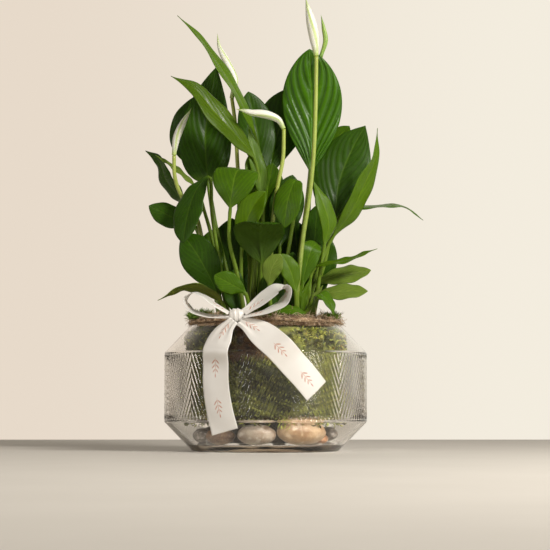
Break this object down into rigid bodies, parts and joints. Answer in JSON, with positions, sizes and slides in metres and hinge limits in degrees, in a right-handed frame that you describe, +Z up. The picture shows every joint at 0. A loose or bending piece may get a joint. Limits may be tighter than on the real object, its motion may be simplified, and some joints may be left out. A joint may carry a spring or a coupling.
{
  "type": "potted peace lily",
  "caption": "Peace lily in a faceted, groove-cut glass bowl, planted in soil lined with moss and pebbles and dressed with a white satin bow.",
  "frame": {"origin": "centre of the flat underside of the glass bowl, on the bowl's axis", "axes": "+Z up along the bowl's axis; -Y towards the viewer, the side with the bow; +X to the right as seen from the front"},
  "size_m": [0.2808, 0.2071, 0.4461],
  "materials": {
    "clear_glass": "clear, faintly smoky cut glass with ribbed grooves round the band",
    "soil": "matte dark potting compost, crumbly",
    "sheet_moss": "matt green sheet moss, fibrous",
    "brown_moss": "matt brown dried moss and root fibre",
    "tan_pebble": "smooth water-worn stone",
    "white_pebble": "smooth water-worn stone",
    "brown_pebble": "smooth water-worn stone",
    "dark_leaf": "glossy dark green leaf",
    "green_leaf": "glossy mid green leaf with sunken veins",
    "young_leaf": "glossy bright green young leaf",
    "spathe": "satin cream-white spathe with a green midrib",
    "flower_stem": "satin light green stem",
    "satin": "white satin ribbon",
    "pick_wire": "thin florist's pick"
  },
  "bodies": {
    "root": {"glass_bowl": "clear_glass", "root_ball": "soil", "moss_lining": "sheet_moss", "moss_ring": "brown_moss", "pebble_tan": "tan_pebble", "pebble_white": "white_pebble", "pebble_brown": "brown_pebble", "pebble_grey": "brown_pebble", "pebble_orange": "tan_pebble", "moss_tuft_left": "sheet_moss", "moss_tuft_right": "sheet_moss", "leaf_tall_right": "green_leaf", "leaf_long_left": "young_leaf", "leaf_broad_left": "dark_leaf", "leaf_back_left": "dark_leaf", "leaf_bright_left": "young_leaf", "leaf_back_centre": "dark_leaf", "leaf_back_middle": "dark_leaf", "leaf_small_upper_right": "green_leaf", "leaf_broad_right": "dark_leaf", "leaf_bright_right": "young_leaf", "leaf_flat_right": "green_leaf", "leaf_thin_right": "young_leaf", "leaf_low_right_back": "dark_leaf", "leaf_low_right_front": "dark_leaf", "leaf_curled_right": "green_leaf", "leaf_forward_centre": "dark_leaf", "leaf_veined_left": "green_leaf", "leaf_drooping_left": "dark_leaf", "leaf_side_left": "dark_leaf", "leaf_hanging_left": "dark_leaf", "leaf_edgewise_left": "dark_leaf", "leaf_low_left": "dark_leaf", "leaf_arching_left": "dark_leaf", "leaf_small_front": "green_leaf", "leaf_olive_front": "dark_leaf", "leaf_bright_front": "young_leaf", "leaf_drooping_centre": "green_leaf", "leaf_bent_right": "young_leaf", "leaf_dark_right": "dark_leaf", "leaf_middle_right": "green_leaf", "leaf_bright_centre": "young_leaf", "leaf_folded_centre": "young_leaf", "flower_stem_left": "flower_stem", "flower_spathe_left": "spathe", "flower_stem_level": "flower_stem", "flower_spathe_level": "spathe", "flower_stem_back_left": "flower_stem", "flower_spathe_back_left": "spathe", "flower_stem_tall": "flower_stem", "flower_spathe_tall": "spathe", "flower_stem_bud": "flower_stem", "flower_spathe_bud": "young_leaf", "ribbon_loop_left": "satin", "ribbon_loop_right": "satin", "ribbon_tail_left": "satin", "ribbon_tail_right": "satin", "ribbon_knot": "satin", "bow_pick": "pick_wire"}
  },
  "joints": []
}
